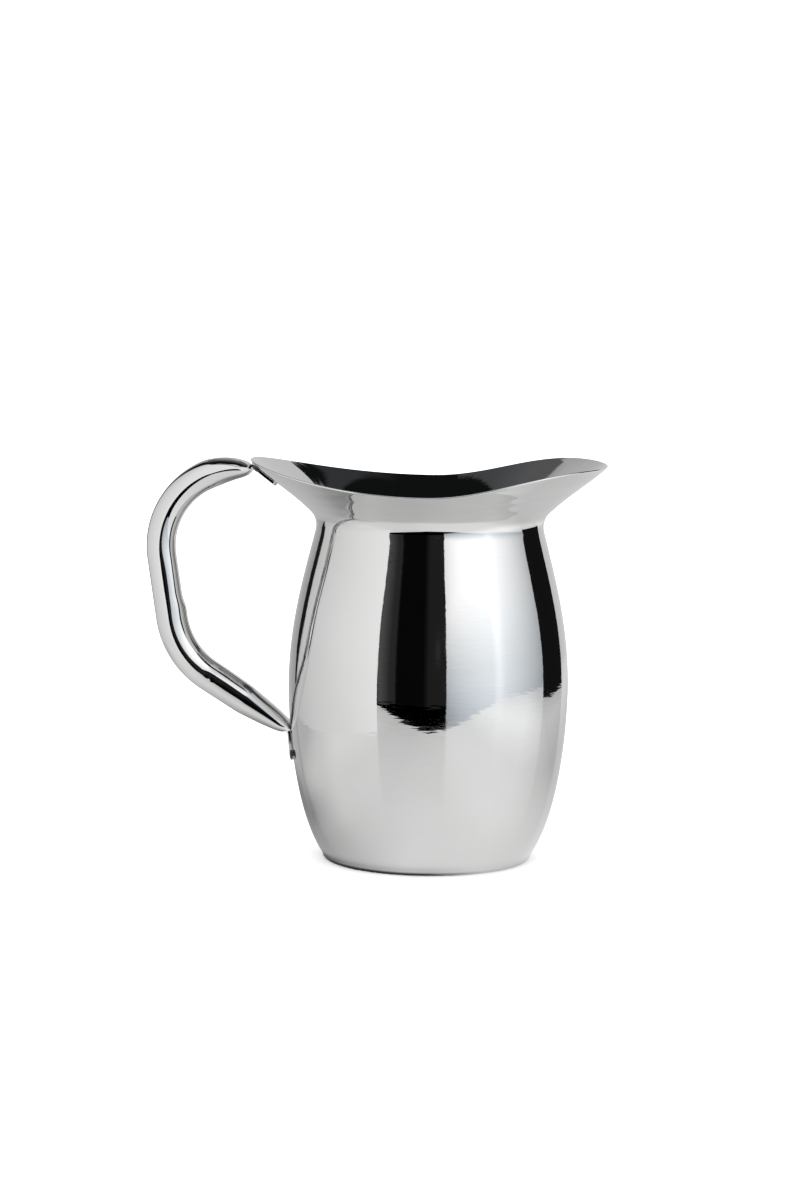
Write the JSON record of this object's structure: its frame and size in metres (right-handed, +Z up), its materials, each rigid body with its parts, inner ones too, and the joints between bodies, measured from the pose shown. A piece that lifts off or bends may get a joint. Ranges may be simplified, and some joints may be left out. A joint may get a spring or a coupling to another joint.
{
  "type": "water pitcher",
  "caption": "Bell-shaped polished steel pitcher with a flared saddle rim, a broad pouring lip and a bent tube handle.",
  "frame": {"origin": "centre of the base on the barrel's axis, in the plane the foot stands on", "axes": "+Z up along the barrel's axis, +X to the pouring lip, -X to the handle; the object mirrors across the X-Z plane"},
  "size_m": [0.219, 0.1414, 0.1907],
  "materials": {
    "body_steel": "mirror-polished stainless steel sheet, brushed underside",
    "handle_steel": "mirror-polished stainless steel tube",
    "weld_metal": "small satin weld beads, dressed by hand"
  },
  "bodies": {
    "root": {"body_shell": "body_steel", "handle_tube": "handle_steel", "upper_welds": "weld_metal", "lower_welds": "weld_metal"}
  },
  "joints": []
}
